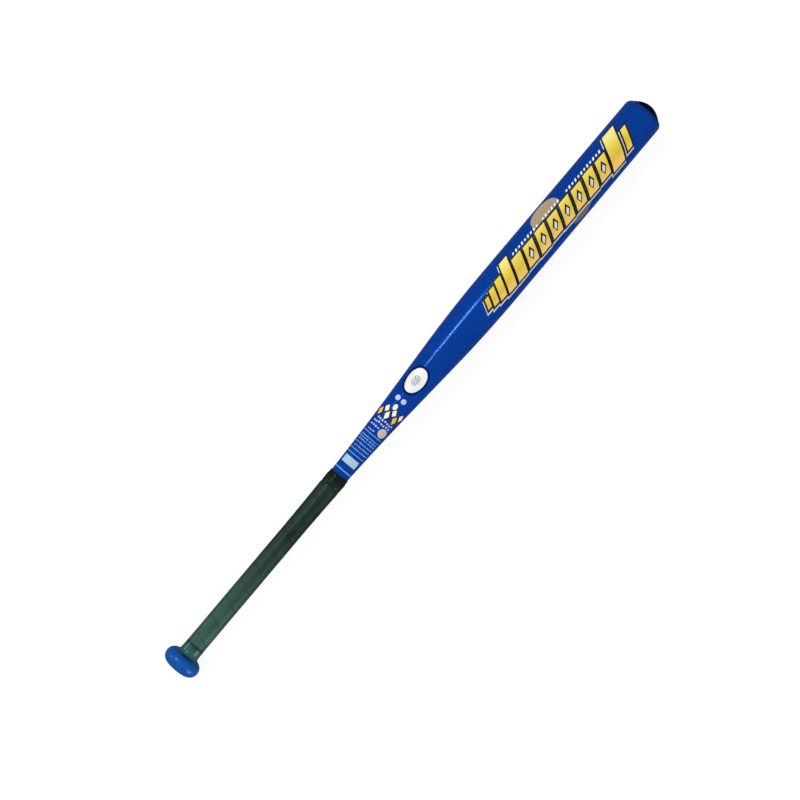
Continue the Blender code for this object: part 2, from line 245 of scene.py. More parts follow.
# Where colours change along the bat: painted shade on the enamel next to a seam, painted shade
# where the band meets the grip, and the fades of the tape and the grip
SHELL_SEAM_SHADE_LENGTH = 0.0050
KNOB_SEAM_SHADE_LENGTH = 0.0080
BAND_SHADE_FADE = (0.0300, 0.0326)
TAPE_FADE = (0.2755, 0.2825)
LEATHER_START_SHADE_FADE = (0.0350, 0.0372)
LEATHER_FADE = (0.06, 0.20)

# Index of refraction of the hard coats, which mirror about as much at their rims as in front
COAT_IOR = 2.6

# The camera, the floor and the light
CAMERA_PLACE = (-0.0208, 0.0024, AXIS_HEIGHT + 2.172)
CAMERA_LENS = 85.59
CAMERA_TURN = math.radians(-49.87)
SKY_AT_HORIZON = 0.05
SKY_OVERHEAD = 0.875
FLOOR_GREY = 0.2
FLOOR_GLOW = 0.86
FLOOR_REACH = 12.0
WHITE = (1.0, 1.0, 1.0, 1.0)

# Soft lights: name, place, width and length in metres, and power in watts
LIGHTS = (
    ("key_light", (-0.006, 1.46, 2.2), 0.45, 0.3, 28),
    ("left_light", (-0.80, 2.10, 0.64), 0.6, 0.3, 11),
    ("right_light", (-1.16, -2.26, 0.4), 0.5, 0.5, 24),
    ("band_light", (-0.78, -1.89, 1.09), 0.25, 0.25, 7),
)
LIGHTS_AIM = (-0.02, 0.0, AXIS_HEIGHT)


def outer_radius(x):
    """Outside of the tube: a handle, a straight cone between two tangent blends, and a barrel."""
    rise = BARREL_RADIUS - HANDLE_RADIUS
    slope = rise / (TAPER_END - TAPER_START - (HANDLE_BLEND + BARREL_BLEND) / 2)
    past_start = x - TAPER_START
    before_end = TAPER_END - x
    if past_start <= 0:
        return HANDLE_RADIUS
    if past_start <= HANDLE_BLEND:
        return HANDLE_RADIUS + slope * past_start ** 2 / (2 * HANDLE_BLEND)
    if before_end >= BARREL_BLEND:
        return HANDLE_RADIUS + slope * (past_start - HANDLE_BLEND / 2)
    if before_end >= 0:
        return BARREL_RADIUS - slope * before_end ** 2 / (2 * BARREL_BLEND)
    narrowing = BARREL_NARROWING / 2 * -before_end / (TUBE_END - TAPER_END)
    into_roll = max(0.0, x - (TUBE_END - ROLLED_EDGE_LENGTH)) / ROLLED_EDGE_LENGTH
    turned_in = into_roll * math.sin(ROLLED_EDGE_ANGLE)
    roll = (1 - math.sqrt(max(0.0, 1 - turned_in ** 2))) / (1 - math.cos(ROLLED_EDGE_ANGLE))
    return BARREL_RADIUS - narrowing - ROLLED_EDGE_DROP * roll


def inner_radius(x):
    """Bore of the tube, whose wall changes evenly over the taper."""
    share = (x - TAPER_START) / (TAPER_END - TAPER_START)
    share = min(1.0, max(0.0, share))
    return outer_radius(x) - (HANDLE_WALL + (BARREL_WALL - HANDLE_WALL) * share)


def enamel_radius(x):
    """Outside of the enamel, which leaves room for the ink within the tube's own size."""
    return outer_radius(x) - INK_ROOM


def spread(start, end, steps):
    """Evenly spaced places from start to end, both included."""
    return [start + (end - start) * i / steps for i in range(steps + 1)]


def rolled_edge_places(steps):
    """Places along the rolled edge, closer together where it turns in faster."""
    start = TUBE_END - ROLLED_EDGE_LENGTH
    places = []
    for i in range(steps + 1):
        share = math.sin(ROLLED_EDGE_ANGLE * i / steps) / math.sin(ROLLED_EDGE_ANGLE)
        places.append(start + ROLLED_EDGE_LENGTH * share)
    return places


def arc(centre, reach, angles, steps):
    """Points (x, r) on an ellipse, by angles measured from the direction of +r towards +x."""
    points = []
    for angle in spread(*angles, steps):
        x = centre[0] + reach[0] * math.sin(angle)
        r = centre[1] + reach[1] * math.cos(angle)
        points.append((x, r))
    return points


def at(x, r, turn):
    """The point in the scene at a place along the bat, a distance from its axis and a turn."""
    return Vector((x - LENGTH / 2, r * math.sin(turn), AXIS_HEIGHT + r * math.cos(turn)))


def add_piece(name, bm, look, nodes=(), sharp=30):
    """Turns a bmesh into a smooth-shaded piece of the bat that stands for the CAD nodes named."""
    bmesh.ops.recalc_face_normals(bm, faces=bm.faces[:])
    mesh = bpy.data.meshes.new(name)
    bm.to_mesh(mesh)
    bm.free()
    mesh.shade_smooth()
    mesh.set_sharp_from_angle(angle=math.radians(sharp))
    mesh.materials.append(look)
    made = bpy.data.objects.new(name, mesh)
    bpy.context.scene.collection.objects.link(made)
    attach(made, "root")
    for node in nodes:
        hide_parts(node)
    return made


def turned_mesh(outline, radius_change=None):
    """Spins an outline of (x, r) points about the axis, as a solid, or as a ring off the axis."""
    bm = bmesh.new()
    rings = []
    for x, r in outline:
        if r == 0:
            rings.append([bm.verts.new(at(x, 0, 0))])
            continue
        ring = []
        for i in range(SEGMENTS):
            turn = 2 * math.pi * i / SEGMENTS
            change = radius_change(x, turn) if radius_change else 0.0
            ring.append(bm.verts.new(at(x, r + change, turn)))
        rings.append(ring)
    pairs = list(zip(rings, rings[1:]))
    if len(rings[0]) > 1 and len(rings[-1]) > 1:
        pairs.append((rings[-1], rings[0]))
    for ring, following in pairs:
        for i in range(SEGMENTS):
            j = (i + 1) % SEGMENTS
            if len(ring) == 1:
                bm.faces.new((ring[0], following[i], following[j]))
            elif len(following) == 1:
                bm.faces.new((ring[i], following[0], ring[j]))
            else:
                bm.faces.new((ring[i], following[i], following[j], ring[j]))
    return bm


def feed(tree, socket, value):
    """Links a socket of a node to another one, or sets it."""
    if isinstance(value, bpy.types.NodeSocket):
        tree.links.new(value, socket)
    else:
        socket.default_value = value


def add_node(tree, kind, inputs=None, **settings):
    """A node, with its settings and with its inputs set or linked."""
    node = tree.nodes.new(kind)
    for label, value in settings.items():
        setattr(node, label, value)
    for label, value in (inputs or {}).items():
        feed(tree, node.inputs[label], value)
    return node


class Look:
    """A Principled BSDF material, with short ways to add the nodes that it needs."""

    def __init__(self, name, colour, roughness, **settings):
        self.material = bpy.data.materials.new(name)
        self.material.use_nodes = True
        self.tree = self.material.node_tree
        self.shader = self.tree.nodes["Principled BSDF"]
        self.shader.inputs["Base Color"].default_value = linear(colour)
        self.shader.inputs["Roughness"].default_value = roughness
        for label, value in settings.items():
            self.shader.inputs[label.replace("_", " ")].default_value = value
        self.place = self.add("ShaderNodeTexCoord").outputs["Object"]

    def add(self, kind, inputs=None, **settings):
        """A node of this material."""
        return add_node(self.tree, kind, inputs, **settings)

    def noise(self, size, detail=3.0, stretch=(1.0, 1.0, 1.0)):
        """Noise of 0 to 1 whose patches are about as large as size, in metres."""
        mapping = self.add("ShaderNodeMapping", {"Vector": self.place, "Scale": stretch})
        inputs = {"Vector": mapping.outputs["Vector"], "Scale": 1 / size, "Detail": detail}
        return self.add("ShaderNodeTexNoise", inputs).outputs["Fac"]

    def cells(self, size):
        """Distance to the middle of the nearest cell, from 0 to about 1."""
        inputs = {"Vector": self.place, "Scale": 1 / size}
        return self.add("ShaderNodeTexVoronoi", inputs).outputs["Distance"]

    def along(self, axis):
        """The X, Y or Z of a place on the surface, in metres."""
        split = self.add("ShaderNodeSeparateXYZ", {"Vector": self.place})
        return split.outputs[axis]

    def from_knob(self):
        """A place's distance along the bat from the flat base of the knob, in metres."""
        return self.calculate("ADD", self.along("X"), LENGTH / 2)

    def calculate(self, operation, first, second=0.0):
        """One step of arithmetic."""
        return self.add("ShaderNodeMath", {0: first, 1: second}, operation=operation).outputs[0]

    def remap(self, value, low, high, to_low=0.0, to_high=1.0):
        """A value moved evenly from one range to another, and kept within it."""
        inputs = {
            "Value": value,
            "From Min": low,
            "From Max": high,
            "To Min": to_low,
            "To Max": to_high,
        }
        return self.add("ShaderNodeMapRange", inputs).outputs["Result"]

    def mix(self, share, first, second):
        """A colour between two others, each a display colour of 0 to 255 or a socket."""
        node = self.add("ShaderNodeMix", {"Factor": share}, data_type="RGBA")
        for socket, colour in ((node.inputs[6], first), (node.inputs[7], second)):
            if not isinstance(colour, bpy.types.NodeSocket):
                colour = linear(colour)
            feed(self.tree, socket, colour)
        return node.outputs[2]

    def bump(self, height, depth, strength, under=None):
        """Relief whose height of 0 to 1 stands for a depth in metres."""
        inputs = {"Height": height, "Distance": depth, "Strength": strength}
        if under is not None:
            inputs["Normal"] = under
        return self.add("ShaderNodeBump", inputs).outputs["Normal"]

    def use(self, **links):
        """Feeds the shader's sockets and gives the finished material."""
        for label, value in links.items():
            feed(self.tree, self.shader.inputs[label.replace("_", " ")], value)
        return self.material


def linear(colour):
    """Scene-linear RGBA of a display colour of 0 to 255 a channel."""
    values = []
    for value in colour:
        share = value / 255
        values.append(share / 12.92 if share <= 0.04045 else ((share + 0.055) / 1.055) ** 2.4)
    return (*values, 1.0)


def enamel(name, colour, deep_colour, flake_colour, seam_shade_colour, seam_shade_places, coat, coat_roughness):
    """Lacquer with sparse metal flakes under a hard clear coat, with painted shade towards its
    seam.
    """
    look = Look(
        name,
        colour,
        0.5,
        Specular_IOR_Level=0.0,
        Coat_Weight=coat,
        Coat_Roughness=coat_roughness,
        Coat_IOR=COAT_IOR,
    )
    cloud = look.noise(0.035, detail=2.0, stretch=(0.4, 1.0, 1.0))
    shade = look.mix(look.remap(cloud, 0.3, 0.7), colour, deep_colour)
    # Painted shade: the enamel darkens towards its seam with the cap or the band
    near_seam_shade = look.remap(look.from_knob(), *seam_shade_places)
    shade = look.mix(look.calculate("MULTIPLY", near_seam_shade, near_seam_shade), shade, seam_shade_colour)
    flakes = look.remap(look.noise(0.00012, detail=1.0), 0.60, 0.70)
    shade = look.mix(flakes, shade, flake_colour)
    metal = look.remap(flakes, 0.0, 1.0, to_low=0.06, to_high=0.3)
    streaks = look.noise(0.004, detail=4.0, stretch=(0.15, 1.0, 1.0))
    rougher = coat_roughness + 0.07
    roughest = coat_roughness + 0.13
    worn = look.remap(streaks, 0.35, 0.75, to_low=rougher, to_high=roughest)
    peel = look.bump(look.noise(0.0016, detail=1.0), depth=0.000006, strength=0.5)
    return look.use(Base_Color=shade, Metallic=metal, Roughness=worn, Normal=peel)


def leather():
    """Dark green synthetic leather, mottled, paler near the knob, dirty at its seams, with painted
    shade at its start next to the band.
    """
    look = Look(
        "grip_leather",
        LEATHER_GREEN,
        0.4,
        Specular_IOR_Level=0.0,
        Coat_Weight=0.05,
        Coat_Roughness=0.35,
        Coat_IOR=COAT_IOR,
    )
    place = look.from_knob()
    shade = look.mix(look.remap(place, *LEATHER_FADE), LEATHER_NEAR_KNOB, LEATHER_NEAR_TAPE)
    blotch = look.noise(0.014, detail=4.0, stretch=(0.5, 1.0, 1.0))
    shade = look.mix(look.remap(blotch, 0.35, 0.65, to_high=0.45), shade, LEATHER_BLOTCH)
    above_axis = look.calculate("SUBTRACT", look.along("Z"), AXIS_HEIGHT)
    angle = look.calculate("ARCTAN2", look.along("Y"), above_axis)
    turns = look.calculate("DIVIDE", look.calculate("SUBTRACT", angle, GRIP_TURN), 2 * math.pi)
    past_edge = look.calculate("SUBTRACT", place, GRIP_START + GRIP_TONGUE)
    pitches = look.calculate("DIVIDE", past_edge, GRIP_PITCH)
    phase = look.calculate("FRACT", look.calculate("SUBTRACT", pitches, turns))
    from_middle = look.calculate("ABSOLUTE", look.calculate("SUBTRACT", phase, 0.5))
    dirt = look.remap(from_middle, 0.475, 0.497, to_high=0.38)
    shade = look.mix(dirt, shade, LEATHER_DIRT)
    # Painted shade on the first millimetres of the grip, where it meets the band
    shade = look.mix(look.remap(place, *LEATHER_START_SHADE_FADE), LEATHER_START_SHADE, shade)
    grain = look.cells(0.0007)
    fine = look.noise(0.0003, detail=2.0)
    relief = look.bump(grain, depth=0.00003, strength=0.6)
    relief = look.bump(fine, depth=0.00001, strength=0.5, under=relief)
    gloss = look.remap(look.noise(0.010), 0.3, 0.7, to_low=0.28, to_high=0.38)
    return look.use(Base_Color=shade, Roughness=gloss, Normal=relief, Coat_Normal=relief)


def moulded(name, colour, second_colour, roughness, grain, depth, fade_and_shade=None, **settings):
    """Moulded plastic or rubber with a fine grain, and an uneven colour or one that fades along the
    bat, as painted shade on the band.
    """
    look = Look(name, colour, roughness, **settings)
    cloud = look.remap(look.noise(0.009), 0.35, 0.65)
    # A fade along the bat, which on the band is painted shade next to the grip
    if fade_and_shade:
        fade_and_shade_share = look.remap(look.from_knob(), *fade_and_shade, to_high=0.8)
        cloud = look.calculate("ADD", fade_and_shade_share, look.calculate("MULTIPLY", cloud, 0.2))
    shade = look.mix(cloud, colour, second_colour)
    relief = look.bump(look.noise(grain), depth, strength=0.8)
    smoother = roughness - 0.05
    rougher = roughness + 0.07
    gloss = look.remap(look.noise(0.005), 0.3, 0.7, to_low=smoother, to_high=rougher)
    return look.use(Base_Color=shade, Roughness=gloss, Normal=relief)


def ink(name, stops, span, gloss):
    """Ink whose colour changes within a span on each side of the middle, with a faint grain."""
    look = Look(name, stops[0], INK_ROUGHNESS, Specular_IOR_Level=gloss)
    shade = stops[0]
    across = look.along("Y")
    for index, stop in enumerate(stops[1:]):
        low = span * (2 * index / (len(stops) - 1) - 1)
        high = span * (2 * (index + 1) / (len(stops) - 1) - 1)
        shade = look.mix(look.remap(across, low, high), shade, stop)
    grain = look.remap(look.noise(0.0011, detail=2.0), 0.3, 0.7, to_high=0.16)
    darker = [channel * 0.72 for channel in stops[-1]]
    shade = look.mix(grain, shade, darker)
    relief = look.bump(look.noise(0.0006, detail=1.0), depth=0.000008, strength=0.5)
    return look.use(Base_Color=shade, Normal=relief)


def make_shell(look):
    """The swaged tube, with its barrel end rolled in round the cap."""
    outside = [TUBE_START, HANDLE_MIDDLE]
    outside += spread(TAPER_START, TAPER_END, TAPER_STEPS)
    outside += spread(TAPER_END, TUBE_END - ROLLED_EDGE_LENGTH, BARREL_STEPS)[1:]
    outside += rolled_edge_places(ROLLED_EDGE_STEPS)[1:]
    inside = [TUBE_START]
    inside += spread(TAPER_START, TAPER_END, BORE_TAPER_STEPS)
    inside += rolled_edge_places(BORE_ROLLED_EDGE_STEPS)
    outline = [(x, enamel_radius(x)) for x in outside]
    outline += [(x, inner_radius(x)) for x in reversed(inside)]
    return add_piece("shell_enamel", turned_mesh(outline), look, ["bat_shell"])


def make_knob(look):
    """The turned knob, with a socket for the tube and a vent hole in its flat base."""
    hole = PLUG_HOLE_DIAMETER / 2
    outline = [(KNOB_SOFTENING, hole), (0.0, hole + KNOB_SOFTENING)]
    outline += arc(
        (KNOB_EDGE_RADIUS, KNOB_RADIUS - KNOB_EDGE_RADIUS),
        (KNOB_EDGE_RADIUS, KNOB_EDGE_RADIUS),
        (-math.pi / 2, 0.0),
        KNOB_EDGE_STEPS,
    )
    shoulder = arc(
        (KNOB_EDGE_RADIUS, KNOB_RADIUS - KNOB_SHOULDER_DROP),
        (KNOB_SHOULDER_LENGTH, KNOB_SHOULDER_DROP),
        (0.0, KNOB_SHOULDER_ANGLE),
        KNOB_SHOULDER_STEPS,
    )
    outline += shoulder[1:]
    outline += [
        (KNOB_LENGTH, shoulder[-1][1] - KNOB_SOFTENING),
        (KNOB_LENGTH, SOCKET_RADIUS),
        (KNOB_BASE_THICKNESS, SOCKET_RADIUS),
        (KNOB_BASE_THICKNESS, hole),
    ]
    return add_piece("knob_enamel", turned_mesh(outline), look, ["knob"])


def make_plug(look):
    """The rubber plug, dished in the middle and held by a flange inside the tube."""
    stem = PLUG_HOLE_DIAMETER / 2 - PLUG_FIT
    flange = inner_radius(TUBE_START) - CLEARANCE
    flange_end = TUBE_START + PLUG_FLANGE_THICKNESS
    outline = [(PLUG_RECESS + PLUG_DIMPLE * deep, stem * out) for out, deep in PLUG_FACE]
    outline += [
        (TUBE_START, stem),
        (TUBE_START, flange),
        (flange_end, flange),
        (flange_end, 0.0),
    ]
    return add_piece("plug_rubber", turned_mesh(outline), look, ["knob_plug"])


def dome_place(r):
    """Place along the bat of the cap's outside at a distance r from the axis: a parabola."""
    rim = outer_radius(TUBE_END) - CAP_RIM_INSET
    share = min(1.0, r / rim)
    dome = CAP_SEAT + CAP_DOME_HEIGHT * (1 - share ** 2)
    in_groove = max(0.0, 1 - (2 * (r - CAP_GROOVE_RADIUS) / CAP_GROOVE_WIDTH) ** 2)
    return dome - CAP_GROOVE_DEPTH * in_groove


def make_cap(look):
    """The end cap: a domed flange with a fine groove, a waist that the tube grips, and a skirt."""
    rim = outer_radius(TUBE_END) - CAP_RIM_INSET
    bore = inner_radius(TUBE_END) - CLEARANCE - CAP_WALL
    skirt_end = CAP_SEAT - CAP_SKIRT_LENGTH
    radii = [rim * math.sin(angle) for angle in spread(0.0, math.pi / 2, CAP_DOME_STEPS)]
    half = CAP_GROOVE_WIDTH / 2
    radii = [r for r in radii if abs(r - CAP_GROOVE_RADIUS) > half]
    radii += spread(CAP_GROOVE_RADIUS - half, CAP_GROOVE_RADIUS + half, CAP_GROOVE_STEPS)
    outline = [(dome_place(r), r) for r in sorted(radii)]
    outline.append((CAP_SEAT, inner_radius(TUBE_END) - CLEARANCE))
    waist = rolled_edge_places(BORE_ROLLED_EDGE_STEPS)
    outline += [(x, inner_radius(x) - CLEARANCE) for x in reversed(waist)]
    outline += [(skirt_end, inner_radius(skirt_end) - CLEARANCE), (skirt_end, bore)]
    outline += [(dome_place(r) - CAP_WALL, r) for r in reversed(spread(0.0, bore, CAP_BORE_STEPS))]
    return add_piece("cap_moulding", turned_mesh(outline), look, ["end_cap"])


def make_start_band(look):
    """The glossy band that holds the start of the grip, whose flared foot seats on the knob."""
    start = BAND_START - CLEARANCE * 2 / 3
    end = GRIP_START - CLEARANCE / 3
    inside = HANDLE_RADIUS + CLEARANCE
    outside = inside + BAND_THICKNESS
    foot_end = BAND_START + BAND_FOOT_LENGTH
    outline = [(start, inside)]
    outline += arc(
        (foot_end, outside + BAND_FOOT_HEIGHT),
        (foot_end - start, BAND_FOOT_HEIGHT),
        (-math.pi / 2, -math.pi),
        BAND_FOOT_STEPS,
    )
    body = spread(foot_end, end - BAND_ROUND, BAND_BODY_STEPS)
    outline += [(x, outside) for x in body[1:-1]]
    outline += arc(
        (end - BAND_ROUND, outside - BAND_ROUND),
        (BAND_ROUND, BAND_ROUND),
        (0.0, math.pi / 2),
        BAND_ROUND_STEPS,
    )
    outline.append((end, inside))

    def ripple(x, turn):
        """Change of radius at a place, with none at the band's two ends."""
        if not start < x < end:
            return 0.0
        total = 0.0
        for along, round_it, begin in BAND_WAVES:
            total += math.sin(along * x + round_it * turn + begin)
        return BAND_RIPPLE * (total / len(BAND_WAVES) - 1)

    bm = turned_mesh(outline, ripple)
    return add_piece("start_band", bm, look, ["grip_start_band"])


def make_finish_tape(look):
    """The tape over the end of the grip, whose own end shows as a low step along the bat."""
    end = TAPE_START + TAPE_WIDTH
    step = GRIP_END + CLEARANCE
    over_grip = 2 * CLEARANCE + GRIP_THIN_END
    slope_end = step + TAPE_SLOPE
    top = TAPE_THICKNESS
    edge = TAPE_THICKNESS * TAPE_EDGE_SHARE

    def wound(x, turn):
        """Change of radius, which grows evenly round the tape and drops by a step at its end."""
        past_end = (turn - TAPE_END_TURN) % (2 * math.pi) / (2 * math.pi)
        return TAPE_END_STEP * (past_end - 1)

    outline = [
        (TAPE_START, outer_radius(TAPE_START) + over_grip - CLEARANCE),
        (TAPE_START, outer_radius(TAPE_START) + over_grip + edge),
        (TAPE_START + TAPE_EDGE, outer_radius(TAPE_START) + over_grip + top),
    ]
    for x in spread(TAPE_START + TAPE_FIRST_RING, step - TAPE_LAST_RING, TAPE_STEPS):
        outline.append((x, outer_radius(x) + over_grip + top))
    for x in spread(step, slope_end, TAPE_SLOPE_STEPS):
        share = (x - step) / (slope_end - step)
        ease = share * share * (3 - 2 * share)
        outline.append((x, outer_radius(x) + top + over_grip * (1 - ease) + CLEARANCE * ease))
    outline += [
        (end - TAPE_EDGE, outer_radius(end) + CLEARANCE + top),
        (end, outer_radius(end) + CLEARANCE + edge),
        (end, outer_radius(end) + TAPE_END_STEP),
        (step, outer_radius(step) + TAPE_END_STEP),
    ]
    bm = turned_mesh(outline, wound)
    return add_piece("finish_tape", bm, look, ["grip_finish_tape"], sharp=50)


def grip_top(x):
    """Outside of the grip, which is pared down to a thin end under the tape."""
    pared_end = TAPE_START - CLEARANCE
    share = min(1.0, max(0.0, (pared_end - x) / GRIP_PARING))
    thickness = GRIP_THIN_END + (GRIP_THICKNESS - GRIP_THIN_END) * share
    return outer_radius(x) + CLEARANCE + thickness


def grip_section(low, high):
    """Outline (x, r) of the strip between two places, with rounded edges."""
    reach = min(GRIP_EDGE_ROUND, (high - low) / 3)
    places = [low + reach * share for share in GRIP_EDGE_SHARES]
    places += spread(low + reach, high - reach, GRIP_TOP_STEPS)[1:-1]
    places += [high - reach * share for share in reversed(GRIP_EDGE_SHARES)]
    outline = [(low, outer_radius(low) + CLEARANCE / 3)]
    for x in places:
        edge = 1 - min(1.0, min(x - low, high - x) / reach)
        drop = GRIP_EDGE_DROP * (1 - math.sqrt(max(0.0, 1 - edge ** 2)))
        outline.append((x, grip_top(x) - drop))
    outline.append((high, outer_radius(high) + CLEARANCE / 3))
    return outline


def make_grip(look):
    """The grip: one unbroken strip wound up the handle, with a shallow groove at its seam."""
    width = GRIP_PITCH - GRIP_SEAM
    rise = GRIP_PITCH / GRIP_STEPS
    steps = math.floor((GRIP_END - GRIP_START + width - 2 * GRIP_TONGUE) / rise)
    bm = bmesh.new()
    rings = []
    for i in range(steps + 1):
        high = GRIP_START + GRIP_TONGUE + rise * i
        section = grip_section(max(GRIP_START, high - width), min(GRIP_END, high))
        turn = GRIP_TURN + 2 * math.pi * i / GRIP_STEPS
        rings.append([bm.verts.new(at(x, r, turn)) for x, r in section])
    for ring, following in zip(rings, rings[1:]):
        for i in range(len(ring)):
            j = (i + 1) % len(ring)
            bm.faces.new((ring[i], ring[j], following[j], following[i]))
    bm.faces.new(rings[0])
    bm.faces.new(list(reversed(rings[-1])))
    return add_piece("grip_strip", bm, look, ["grip_wrap"], sharp=50)


def make_sticker(look):
    """A thin oval with a soft edge that follows the taper."""
    bm = bmesh.new()

    def ring_of(share, rise):
        """One ring of the sticker's points, at a share of the way out and of its thickness."""
        parts = [i / STICKER_STEPS for i in range(STICKER_STEPS)]
        return [bm.verts.new(sticker_point(share, part, rise)) for part in parts]

    rings = [ring_of(share, rise) for share, rise in STICKER_RIM]
    rings += [ring_of(i / STICKER_RINGS, 1.0) for i in reversed(range(1, STICKER_RINGS))]
    top = bm.verts.new(sticker_point(0.0, 0.0, 1.0))
    under = ring_of(0.5, 0.0)
    middle = bm.verts.new(sticker_point(0.0, 0.0, 0.0))
    for i in range(STICKER_STEPS):
        j = (i + 1) % STICKER_STEPS
        for ring, following in zip(rings, rings[1:]):
            bm.faces.new((ring[i], ring[j], following[j], following[i]))
        bm.faces.new((rings[-1][i], rings[-1][j], top))
        bm.faces.new((rings[0][j], rings[0][i], under[i], under[j]))
        bm.faces.new((under[j], under[i], middle))
    return add_piece("sticker_vinyl", bm, look, ["oval_sticker"], sharp=60)


def sticker_point(share, round_share, rise):
    """A point of the sticker, by its shares of the way out, round and up."""
    angle = 2 * math.pi * round_share
    x = STICKER_CENTRE + STICKER_LENGTH / 2 * share * math.cos(angle)
    turn = STICKER_TURN + STICKER_WIDTH / 2 * share * math.sin(angle) / outer_radius(STICKER_CENTRE)
    return at(x, enamel_radius(x) + STICKER_LIFT + STICKER_THICKNESS * rise, turn)


def sticker_face_point(margin, index):
    """A point (x, across) in millimetres round the sticker's white face, moved out by a margin."""
    angle = 2 * math.pi * index / STICKER_BORDER_STEPS
    x = STICKER_FACE_CENTRE + (STICKER_FACE_LENGTH / 2 + margin) * math.cos(angle)
    across = (STICKER_FACE_WIDTH / 2 + margin) * math.sin(angle) / outer_radius(STICKER_FACE_CENTRE)
    return (x * 1000, (STICKER_FACE_TURN + across) * enamel_radius(x) * 1000)


def bar(x, width, low, high, slant=SLANT):
    """A bar across the bat that leans towards the barrel's end as it goes up the picture."""
    shape = []
    for side, across in ((-1, low), (1, low), (1, high), (-1, high)):
        shape.append((x + side * width / 2 + slant * across, across))
    return shape


def diamond(x, across, reach_x, reach_across, slant=0.0):
    """A diamond with its corners along and across the bat."""
    shape = []
    for i, j in ((-1, 0), (0, -1), (1, 0), (0, 1)):
        shape.append((x + i * reach_x + slant * j * reach_across, across + j * reach_across))
    return shape


def oval(x, across, reach_x, reach_across, steps=28):
    """An ellipse along and across the bat."""
    shape = []
    for i in range(steps):
        angle = 2 * math.pi * i / steps
        shape.append((x + reach_x * math.cos(angle), across + reach_across * math.sin(angle)))
    return shape


def cap_of_oval(x, across, reach_x, reach_across, share, steps=28):
    """The outer part of an ellipse, cut along the bat at a share of its reach across."""
    start = math.asin(share)
    shape = []
    for i in range(steps + 1):
        angle = start + (math.pi - 2 * start) * i / steps
        shape.append((x + reach_x * math.cos(angle), across + reach_across * math.sin(angle)))
    return shape


def grown(shape, margin, shift=(0.0, 0.0)):
    """A convex shape with its edges moved out by a margin, then shifted."""
    lines = []
    for (x1, y1), (x2, y2) in zip(shape, shape[1:] + shape[:1]):
        length = math.hypot(x2 - x1, y2 - y1)
        out_x, out_y = (y2 - y1) / length, (x1 - x2) / length
        lines.append((out_x, out_y, out_x * x1 + out_y * y1 + margin))
    corners = []
    for (a1, b1, c1), (a2, b2, c2) in zip(lines[-1:] + lines[:-1], lines):
        cross = a1 * b2 - a2 * b1
        x = (c1 * b2 - c2 * b1) / cross
        y = (a1 * c2 - a2 * c1) / cross
        corners.append((x + shift[0], y + shift[1]))
    return corners


def tube_place(x, turn, lift):
    """A point of the print on the tube."""
    return at(x, enamel_radius(x) + lift, turn)


def multiples(step, values):
    """The multiples of a step from the least to the greatest of some values."""
    first = math.ceil(min(values) / step)
    last = math.floor(max(values) / step)
    return [i * step for i in range(first, last + 1)]


def add_print(name, shapes, lift, look, carrier=tube_place):
    """Films of ink in convex shapes, given in millimetres along the bat and round from its top."""
    bm = bmesh.new()
    normals = []
    for shape in shapes:
        flat = bmesh.new()
        corners = []
        for x, across in shape:
            place = x / 1000
            corners.append(flat.verts.new((place, across / 1000 / enamel_radius(place), 0.0)))
        flat.faces.new(corners)
        places = [vertex.co.x for vertex in flat.verts]
        turns = [vertex.co.y for vertex in flat.verts]
        cuts = []
        for turn in multiples(2 * math.pi / SEGMENTS, turns):
            cuts.append(((0.0, turn, 0.0), (0.0, 1.0, 0.0)))
        for place in multiples(PRINT_GRID, places):
            cuts.append(((place, 0.0, 0.0), (1.0, 0.0, 0.0)))
        for point, normal in cuts:
            bmesh.ops.bisect_plane(
                flat,
                geom=flat.verts[:] + flat.edges[:] + flat.faces[:],
                dist=SAME_PLACE,
                plane_co=point,
                plane_no=normal,
            )
        upper = {}
        lower = {}
        for vertex in flat.verts:
            x, turn = vertex.co.x, vertex.co.y
            upper[vertex] = bm.verts.new(carrier(x, turn, lift))
            lower[vertex] = bm.verts.new(carrier(x, turn, lift - FILM))
            outward = Vector((0.0, math.sin(turn), math.cos(turn)))
            normals += [outward, -outward]
        for face in flat.faces:
            bm.faces.new([upper[v] for v in face.verts])
            bm.faces.new([lower[v] for v in reversed(face.verts)])
        for edge in flat.edges:
            if edge.is_boundary:
                a, b = edge.verts
                bm.faces.new((upper[a], lower[a], lower[b], upper[b]))
        flat.free()
    made = add_piece(name, bm, look)
    made.data.normals_split_custom_set_from_vertices(normals)
    return made


# The print, in millimetres along the bat and round it from its top

# Gold bars on the barrel: place, width, and low and high edge
GOLD_BARS = (
    (549, 6, -9, 2),
    (559, 8, -12, 5),
    (571, 10, -14, 7),
    (586, 13, -16, 17),
    (604, 15, -16, 8),
    (624, 16, -15, 7),
    (645, 16, -16, 8),
    (666, 16, -15, 7),
    (687, 16, -16, 8),
    (708, 16, -15, 7),
    (729, 16, -16, 8),
    (750, 16, -15, 7),
    (772, 19, -19, 21),
    (792, 8, -14, 9),
)
WINDOWED_WIDTH = 16
WINDOW_REACH = (4.6, 7.2)
WINDOW_SHIFT = (-2, -4)
GLINT_MARGIN = -1.5
GLINT_SHIFT = (-0.4, -0.9)
OUTLINE_MARGIN = 2.2
SHADOW_SHIFT = (-2.1, -2.0)

# The row of dashes over the bars: its start, spacing, count and gaps, and a dash's width and edges
DASH_ROW_START = 602
DASH_SPACING = 5.2
DASH_COUNT = 30
DASH_GAPS = (9, 16, 17)
DASH_WIDTH = 2.5
DASH_EDGES = (10.4, 12.8)
DASH_STAGGER = 0.5

# Bronze patches, each cut off along the bat: place, across, the two reaches and where it is cut
PATCHES = ((666.4, 13, 21.5, 16, -0.2), (694, -13, 19, -15, 0.2))

